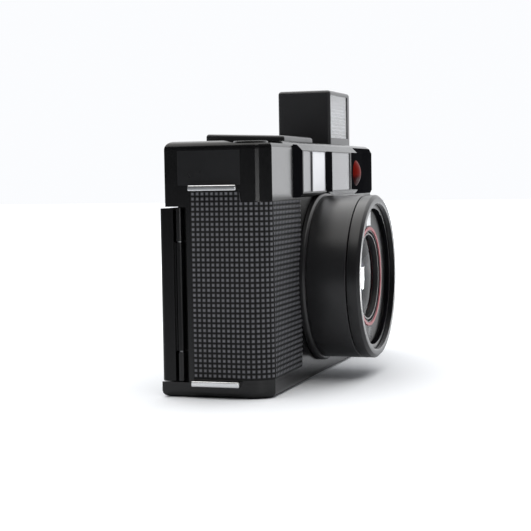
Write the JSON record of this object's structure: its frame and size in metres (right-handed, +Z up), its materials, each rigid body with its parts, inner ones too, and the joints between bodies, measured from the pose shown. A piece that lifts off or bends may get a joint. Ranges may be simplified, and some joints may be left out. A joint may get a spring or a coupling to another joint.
{
  "type": "compact film camera",
  "caption": "Compact 35 mm film camera with a pop-up flash, a fixed lens, a window strip across the top and a hinged film door.",
  "frame": {"origin": "centre of the mouth of the tripod socket, in the middle of the underside", "axes": "+X along the body from the grip end to the latch end, -Y the way the lens points, +Z up"},
  "size_m": [0.1356, 0.0535, 0.0962],
  "materials": {
    "shell": "satin black",
    "barrel": "satin dark grey",
    "sheet": "pyramid grain, black",
    "black_plastic": "fine matt",
    "gloss_black": "gloss",
    "grey_alloy": "cast, dull",
    "steel": "plain",
    "bright": "polished",
    "brass": "plain",
    "lens_glass": "coated, clear",
    "window": "frosted light",
    "dark_window": "smoked",
    "flash_pane": "ribbed clear",
    "lamp": "clear red",
    "board": "green board"
  },
  "bodies": {
    "camera": {"front_cover": "shell", "top_cover": "shell", "bottom_cover": "shell", "window_surround": "gloss_black", "front_windows": "window", "timer_lamp": "lamp", "viewfinder_hump": "shell", "finder_tunnel": "black_plastic", "finder_lenses": "lens_glass", "eyepiece": "black_plastic", "rangefinder_module": "grey_alloy", "chassis": "black_plastic", "circuit_board": "board", "flash_capacitor": "black_plastic", "lens_flange": "shell", "lens_barrel": "barrel", "name_ring": "black_plastic", "ring_windows": "window", "light_cell": "dark_window", "shutter_housing": "black_plastic", "drive_motor": "steel", "battery_box": "black_plastic", "battery_springs": "steel", "release_switch": "black_plastic", "counter_window": "window", "tripod_bush": "steel", "base_screws": "steel", "door_hinge_pin": "steel", "front_leatherette": "sheet", "strap_lugs": "bright", "button_spring": "steel", "flash_spring": "steel"},
    "flash": {"flash_head": "shell", "flash_window": "flash_pane", "flash_reflector": "bright", "flash_tube": "lens_glass"},
    "battery_lid": {"battery_door": "shell", "battery_bridge": "steel"},
    "film_door": {"back_door": "shell", "door_leatherette": "sheet", "film_window": "dark_window", "pressure_spring": "steel"},
    "film_plate": {"pressure_plate": "steel"},
    "latch": {"door_latch": "shell"},
    "release_button": {"shutter_button": "shell"},
    "speed_ring": {"film_speed_ring": "barrel"},
    "lens_cell": {"focus_cell": "black_plastic", "front_lens": "lens_glass", "inner_lenses": "lens_glass"},
    "blade_left": {"shutter_blade_left": "steel"},
    "blade_right": {"shutter_blade_right": "steel"},
    "take_up": {"take_up_spool": "black_plastic", "spool_gear": "brass"},
    "motor_shaft": {"motor_pinion": "brass"},
    "sprocket": {"sprocket_shaft": "black_plastic"},
    "fork": {"rewind_fork": "black_plastic"},
    "counter": {"frame_counter_dial": "black_plastic"},
    "timer_slider": {"self_timer_switch": "black_plastic"},
    "flash_slider": {"flash_switch": "black_plastic"},
    "rewind_slider": {"rewind_switch": "black_plastic"}
  },
  "joints": [
    {"name": "flash_lift", "type": "slide", "parent": "camera", "child": "flash", "axis": [0, 0, 1], "range_m": [-0.0159, 0], "stiffness_N_per_m": 25, "springref_m": 0.01, "deforming": ["flash_spring"]},
    {"name": "door_swing", "type": "hinge", "parent": "camera", "child": "film_door", "pos_m": [-0.0643, 0.0111, 0.0307], "axis": [0, 0, 1], "range_deg": [0, 105]},
    {"name": "plate_press", "type": "slide", "parent": "film_door", "child": "film_plate", "axis": [0, 1, 0], "range_m": [0, 0.0004], "stiffness_N_per_m": 300, "springref_m": -0.001},
    {"name": "latch_slide", "type": "slide", "parent": "camera", "child": "latch", "axis": [0, 0, 1], "range_m": [0, 0.003], "stiffness_N_per_m": 60, "springref_m": -0.001},
    {"name": "shutter_press", "type": "slide", "parent": "camera", "child": "release_button", "axis": [0, 0, 1], "range_m": [-0.0014, 0], "stiffness_N_per_m": 300, "springref_m": 0.001, "deforming": ["button_spring"]},
    {"name": "battery_door_swing", "type": "hinge", "parent": "camera", "child": "battery_lid", "pos_m": [-0.0457, -0.00075, 0.0012], "axis": [0, -1, 0], "range_deg": [0, 95]},
    {"name": "film_speed_turn", "type": "hinge", "parent": "camera", "child": "speed_ring", "pos_m": [-0.0079, -0.0342, 0.0324], "axis": [0, -1, 0], "range_deg": [-60, 60]},
    {"name": "focus_slide", "type": "slide", "parent": "camera", "child": "lens_cell", "axis": [0, -1, 0], "range_m": [0, 0.0016]},
    {"name": "blade_left_swing", "type": "hinge", "parent": "camera", "child": "blade_left", "pos_m": [-0.0079, -0.0136, 0.0464], "axis": [0, 1, 0], "range_deg": [0, 33]},
    {"name": "blade_right_swing", "type": "hinge", "parent": "camera", "child": "blade_right", "pos_m": [-0.0079, -0.0124, 0.0464], "axis": [0, 1, 0], "range_deg": [-33, 0]},
    {"name": "take_up_spin", "type": "hinge", "parent": "camera", "child": "take_up", "pos_m": [-0.0359, 0.0019, 0.033], "axis": [0, 0, 1], "continuous": true},
    {"name": "motor_spin", "type": "hinge", "parent": "camera", "child": "motor_shaft", "pos_m": [-0.0471, 0.0019, 0.058], "axis": [0, 0, 1], "continuous": true},
    {"name": "sprocket_spin", "type": "hinge", "parent": "camera", "child": "sprocket", "pos_m": [0.0195, 0.0069, 0.0324], "axis": [0, 0, 1], "continuous": true},
    {"name": "rewind_spin", "type": "hinge", "parent": "camera", "child": "fork", "pos_m": [0.0484, 0.0009, 0.007], "axis": [0, 0, 1], "continuous": true},
    {"name": "counter_turn", "type": "hinge", "parent": "camera", "child": "counter", "pos_m": [-0.0555, 0.0055, 0.065], "axis": [0, 0, 1], "range_deg": [0, 300]},
    {"name": "timer_slide", "type": "slide", "parent": "camera", "child": "timer_slider", "axis": [1, 0, 0], "range_m": [0, 0.003]},
    {"name": "flash_mode_slide", "type": "slide", "parent": "camera", "child": "flash_slider", "axis": [1, 0, 0], "range_m": [0, 0.003]},
    {"name": "rewind_slide", "type": "slide", "parent": "camera", "child": "rewind_slider", "axis": [1, 0, 0], "range_m": [0, 0.003]}
  ],
  "couplings": [
    {"joint": "blade_right_swing", "follows": "blade_left_swing", "ratio": -1},
    {"joint": "motor_spin", "follows": "take_up_spin", "ratio": -3.1111}
  ]
}
